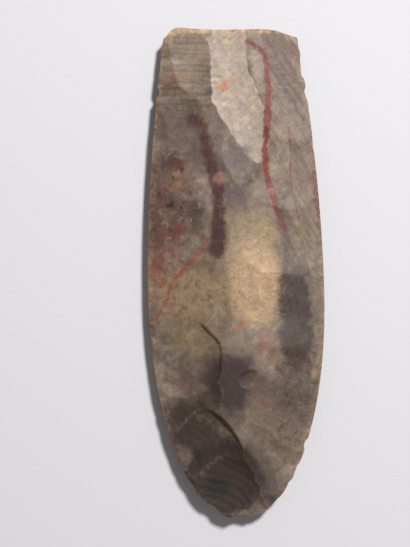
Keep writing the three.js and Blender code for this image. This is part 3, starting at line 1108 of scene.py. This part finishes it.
        tone = draw.node("ShaderNodeAttribute", {}, attribute_name="tone").outputs["Fac"]
        ridge = draw.node("ShaderNodeAttribute", {}, attribute_name="ridge").outputs["Fac"]
        margin = draw.node("ShaderNodeAttribute", {}, attribute_name="margin").outputs["Fac"]

        colour = self.body_colour(draw, place)
        for patch in BUTT_PATCHES:
            colour = lay(patch, colour)
        fresh = draw.math("MULTIPLY", draw.ramp(tone, 0.6, 0.9), self.cream_strength)
        colour = draw.mix(fresh, colour, (*CREAM, 1))
        for patch in PATCHES:
            colour = lay(patch, colour)
        for flecks in FLECKS:
            area = area_of(flecks, self.area_softness)
            cloud = draw.noise(fine, flecks.scale, 5.0, 0.68).outputs["Fac"]
            level = 0.5 + 0.25 * (0.5 - flecks.share)
            spread = draw.math("MULTIPLY", draw.ramp(cloud, level, level + 0.09), flecks.strength)
            colour = draw.mix(draw.math("MULTIPLY", area, spread), colour, (*flecks.colour, 1))
        for vein in VEINS:
            colour = thread(vein, colour)
        for patch in SPOTS:
            colour = lay(patch, colour)

        height = draw.node("ShaderNodeSeparateXYZ", {0: fine}).outputs["Y"]
        crust = draw.math("MULTIPLY", draw.ramp(height, 91.5, 94.5), draw.ramp(thin_cloud, 0.3, 0.6))
        colour = draw.mix(crust, colour, (*self.crust, 1))
        # Painted highlight: tan specks near the edge, left out at the tip, where the small chips would
        # catch the lamp.
        speck = draw.noise(place, 0.9, 3.0, 0.6).outputs["Fac"]
        edge = draw.math("MULTIPLY", draw.ramp(margin, 0.25, 0.95), draw.ramp(speck, 0.42, 0.62))
        edge = draw.math("MULTIPLY", edge, draw.ramp(height, -82, -55))
        colour = draw.mix(draw.math("MULTIPLY", edge, self.edge_highlight_strength), colour, (*self.edge_highlight_tan, 1))
        # Paler line along the ridges: partly worn, crushed stone and partly painted highlight where the
        # ridges catch the lamp.
        crest = draw.math("MULTIPLY", ridge, draw.ramp(thin_cloud, 0.35, 0.7))
        worn_and_highlit = draw.math("MULTIPLY", crest, self.crest_wear_and_highlight_strength)
        colour = draw.mix(worn_and_highlit, colour, (*self.crest_pale_and_highlight, 1))

        shade = draw.math("MULTIPLY_ADD", tone, self.tone_contrast, 1.0)
        for scale, contrast in self.mottles:
            over = coarse if scale < self.coarse_from else place
            cloud = draw.noise(over, scale, 4.0, 0.6).outputs["Fac"]
            swing = draw.math("MULTIPLY_ADD", cloud, contrast, 1 - contrast / 2)
            shade = draw.math("MULTIPLY", shade, swing)
        for banding in BANDINGS:
            area = area_of(banding, self.banding_softness)
            angle = -math.radians(banding.way)
            streaks = use("streaks", {"Vector": flat, "Angle": angle, "Across": banding.across})
            swing = draw.math("MULTIPLY", draw.math("SUBTRACT", streaks, 0.5), banding.contrast * 2)
            shade = draw.math("MULTIPLY", shade, draw.math("MULTIPLY_ADD", area, swing, 1.0))
        grey = draw.node("ShaderNodeCombineColor", {0: shade, 1: shade, 2: shade}).outputs[0]
        colour = draw.mix(1.0, colour, grey, "MULTIPLY")
        hue = draw.ramp(draw.noise(coarse, 0.22, 4.0, 0.65).outputs["Fac"], 0.3, 0.7)
        tint = draw.mix(hue, (*self.olive_tint, 1), (*self.plum_tint, 1))
        colour = draw.mix(1.0, colour, tint, "MULTIPLY")

        grit = draw.noise(place, 1.4, 5.0, 0.65).outputs["Fac"]
        swing = self.roughness_swing
        rough = draw.math("MULTIPLY_ADD", grit, swing, self.roughness - swing / 2)
        bump = draw.node("ShaderNodeBump", {"Height": grit, "Strength": 0.5, "Distance": 0.0003})
        shader = draw.node("ShaderNodeBsdfPrincipled", {
            "Base Color": colour,
            "Roughness": rough,
            "Normal": bump.outputs["Normal"],
            "IOR": self.refraction,
        })
        draw.node("ShaderNodeOutputMaterial", {"Surface": shader.outputs[0]})
        return made


@dataclass(frozen=True)
class Paper:
    """Matt, faintly bluish white paper with a slight tooth."""

    name: str = "pale_paper"
    colour: Colour = (0.785, 0.778, 0.81)

    def material(self) -> bpy.types.Material:
        """The paper's finish."""
        made = bpy.data.materials.new(self.name)
        made.use_nodes = True
        made.node_tree.nodes.clear()
        draw = Sketch(made.node_tree)
        metres = draw.node("ShaderNodeTexCoord", {}).outputs["Object"]
        tooth = draw.noise(metres, 700.0, 4.0, 0.6).outputs["Fac"]
        bump = draw.node("ShaderNodeBump", {"Height": tooth, "Strength": 0.2, "Distance": 0.0003})
        shader = draw.node("ShaderNodeBsdfPrincipled", {
            "Base Color": (*self.colour, 1), "Roughness": 0.9, "Normal": bump.outputs["Normal"],
        })
        draw.node("ShaderNodeOutputMaterial", {"Surface": shader.outputs[0]})
        return made


@dataclass
class Studio:
    """A pale sheet to lie on, one soft lamp over the upper right, a weak sky and the camera.

    view_height is how much of the plane at level the picture shows from top to bottom.
    """

    sheet_size: float = 4.0
    aim: Point2 = (-0.0120, -0.0004)
    roll: float = math.radians(1.35)
    view_height: float = 0.2128
    camera_height: float = 0.5
    level: float = 0.007
    sensor: float = 36.0
    lamp_way: tuple[float, float, float] = (0.44, 0.62, 1.0)
    lamp_distance: float = 1.5
    lamp_size: float = 0.24
    lamp_power: float = 23.1
    sky: Colour = (1.0, 0.95, 0.92)
    sky_strength: float = 0.19

    def lay_sheet(self) -> None:
        """A flat square of paper, kept out of the object."""
        half = self.sheet_size / 2
        mesh = bpy.data.meshes.new("sheet")
        corners = [(-half, -half, 0), (half, -half, 0), (half, half, 0), (-half, half, 0)]
        mesh.from_pydata(corners, [], [(0, 1, 2, 3)])
        mesh.materials.append(Paper().material())
        sheet = bpy.data.objects.new("sheet", mesh)
        bpy.context.scene.collection.objects.link(sheet)

    def light(self) -> None:
        """The lamp, turned to the stone, and the sky."""
        way = Vector(self.lamp_way).normalized()
        data = bpy.data.lights.new("lamp", "AREA")
        data.shape, data.size, data.energy = "DISK", self.lamp_size, self.lamp_power
        lamp = bpy.data.objects.new("lamp", data)
        lamp.location = way * self.lamp_distance
        lamp.rotation_euler = way.to_track_quat("Z", "Y").to_euler()
        bpy.context.scene.collection.objects.link(lamp)
        world = bpy.data.worlds.new("sky")
        world.use_nodes = True
        background = world.node_tree.nodes["Background"]
        background.inputs["Color"].default_value = (*self.sky, 1)
        background.inputs["Strength"].default_value = self.sky_strength
        bpy.context.scene.world = world
        bpy.context.scene.view_settings.view_transform = "Standard"

    def set_camera(self) -> None:
        """A camera straight above, rolled a little as the stone lies."""
        data = bpy.data.cameras.new("camera")
        data.sensor_fit, data.sensor_height, data.sensor_width = "VERTICAL", self.sensor, self.sensor
        data.lens = self.sensor * (self.camera_height - self.level) / self.view_height
        camera = bpy.data.objects.new("camera", data)
        camera.location = (*self.aim, self.camera_height)
        camera.rotation_euler = (0, 0, -self.roll)
        bpy.context.scene.collection.objects.link(camera)
        bpy.context.scene.camera = camera


def main() -> None:
    """Builds the stone and the studio."""
    logging.basicConfig(level=logging.INFO, format="%(name)s: %(message)s")
    stone = HandAxe().build()
    stone.data.materials.append(Chert().material())
    studio = Studio()
    studio.lay_sheet()
    studio.light()
    studio.set_camera()
    log.info("studio ready")


if __name__ == "__main__":
    main()
